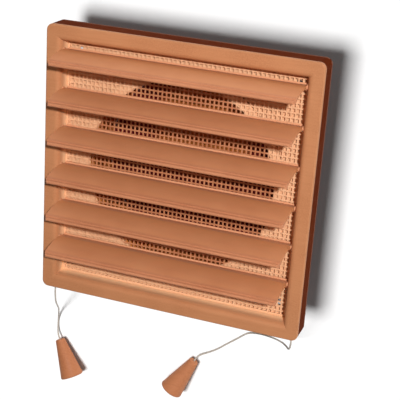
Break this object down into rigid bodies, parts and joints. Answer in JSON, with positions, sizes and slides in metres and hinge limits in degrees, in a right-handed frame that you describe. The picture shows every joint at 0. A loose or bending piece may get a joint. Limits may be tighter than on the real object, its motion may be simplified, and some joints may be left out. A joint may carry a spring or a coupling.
{
  "type": "louvred vent grille",
  "caption": "Square wall vent grille with curved louvre blades on linked cranks, an insect screen, a round duct spigot and two pull cords with cone knobs.",
  "frame": {"origin": "middle of the spigot's rim, on the surface that the grille lies on", "axes": "+Z out of the wall through the face, +Y up the wall, +X to the right seen from the front"},
  "size_m": [0.1585, 0.2264, 0.0552],
  "materials": {
    "face": "satin moulded terracotta plastic",
    "housing": "dark red-brown moulded plastic",
    "blade": "satin moulded terracotta plastic, a little darker than the face",
    "knob": "satin moulded terracotta plastic",
    "screen": "pale terracotta plastic mesh",
    "nylon": "natural nylon",
    "cord": "braided polyester",
    "steel": "zinc plated"
  },
  "bodies": {
    "frame": {"front_frame": "face", "housing": "housing", "duct_spigot": "housing", "screen_warp": "screen", "screen_weft": "screen", "frame_screws": "steel", "cord_eyelet_left": "nylon", "cord_eyelet_right": "nylon", "roller_pin": "steel", "cord_over_roller": "cord"},
    "louvre_1": {"blade_1": "blade", "crank_lever_left_1": "nylon", "crank_lever_right_1": "nylon"},
    "louvre_2": {"blade_2": "blade", "crank_lever_left_2": "nylon", "crank_lever_right_2": "nylon"},
    "louvre_3": {"blade_3": "blade", "crank_lever_left_3": "nylon", "crank_lever_right_3": "nylon"},
    "louvre_4": {"blade_4": "blade", "crank_lever_left_4": "nylon", "crank_lever_right_4": "nylon"},
    "louvre_5": {"blade_5": "blade", "crank_lever_left_5": "nylon", "crank_lever_right_5": "nylon"},
    "louvre_6": {"blade_6": "blade", "crank_lever_left_6": "nylon", "crank_lever_right_6": "nylon"},
    "link_left": {"link_bar_left": "nylon", "cord_end_left": "cord"},
    "link_right": {"link_bar_right": "nylon", "cord_end_right": "cord"},
    "roller": {"guide_roller": "nylon"},
    "opening_cord": {"inner_cord_left": "cord", "pull_cord_left": "cord", "knob_left": "knob", "cord_knot_left": "cord"},
    "closing_cord": {"inner_cord_right": "cord", "pull_cord_right": "cord", "knob_right": "knob", "cord_knot_right": "cord"}
  },
  "joints": [
    {"name": "louvre_1_hinge", "type": "hinge", "parent": "frame", "child": "louvre_1", "pos_m": [0, 0.06125, 0.0342], "axis": [1, 0, 0], "range_deg": [0, 75]},
    {"name": "louvre_2_hinge", "type": "hinge", "parent": "frame", "child": "louvre_2", "pos_m": [0, 0.04005, 0.0342], "axis": [1, 0, 0], "range_deg": [0, 75]},
    {"name": "louvre_3_hinge", "type": "hinge", "parent": "frame", "child": "louvre_3", "pos_m": [0, 0.01885, 0.0342], "axis": [1, 0, 0], "range_deg": [0, 75]},
    {"name": "louvre_4_hinge", "type": "hinge", "parent": "frame", "child": "louvre_4", "pos_m": [0, -0.00235, 0.0342], "axis": [1, 0, 0], "range_deg": [0, 75]},
    {"name": "louvre_5_hinge", "type": "hinge", "parent": "frame", "child": "louvre_5", "pos_m": [0, -0.02355, 0.0342], "axis": [1, 0, 0], "range_deg": [0, 75]},
    {"name": "louvre_6_hinge", "type": "hinge", "parent": "frame", "child": "louvre_6", "pos_m": [0, -0.04475, 0.0342], "axis": [1, 0, 0], "range_deg": [0, 75]},
    {"name": "link_left_hinge", "type": "hinge", "parent": "louvre_1", "child": "link_left", "pos_m": [-0.0709, 0.0576, 0.02944], "axis": [1, 0, 0], "range_deg": [-75, 0]},
    {"name": "link_right_hinge", "type": "hinge", "parent": "louvre_1", "child": "link_right", "pos_m": [0.0709, 0.0576, 0.02944], "axis": [1, 0, 0], "range_deg": [-75, 0]},
    {"name": "opening_cord_slide", "type": "slide", "parent": "frame", "child": "opening_cord", "axis": [0, 1, 0], "range_m": [0, 0.00732]},
    {"name": "closing_cord_slide", "type": "slide", "parent": "frame", "child": "closing_cord", "axis": [0, 1, 0], "range_m": [-0.00732, 0]},
    {"name": "roller_turn", "type": "hinge", "parent": "frame", "child": "roller", "pos_m": [0.0709, 0.07, 0.03144], "axis": [1, 0, 0], "range_deg": [0, 210]}
  ],
  "couplings": [
    {"joint": "louvre_2_hinge", "follows": "louvre_1_hinge", "ratio": 1},
    {"joint": "louvre_3_hinge", "follows": "louvre_1_hinge", "ratio": 1},
    {"joint": "louvre_4_hinge", "follows": "louvre_1_hinge", "ratio": 1},
    {"joint": "louvre_5_hinge", "follows": "louvre_1_hinge", "ratio": 1},
    {"joint": "louvre_6_hinge", "follows": "louvre_1_hinge", "ratio": 1},
    {"joint": "link_left_hinge", "follows": "louvre_1_hinge", "ratio": -1},
    {"joint": "link_right_hinge", "follows": "louvre_1_hinge", "ratio": -1},
    {"joint": "opening_cord_slide", "follows": "louvre_1_hinge", "m_per_rad": 0.0055807},
    {"joint": "closing_cord_slide", "follows": "louvre_1_hinge", "m_per_rad": -0.0055807},
    {"joint": "roller_turn", "follows": "louvre_1_hinge", "ratio": 2.7904}
  ]
}
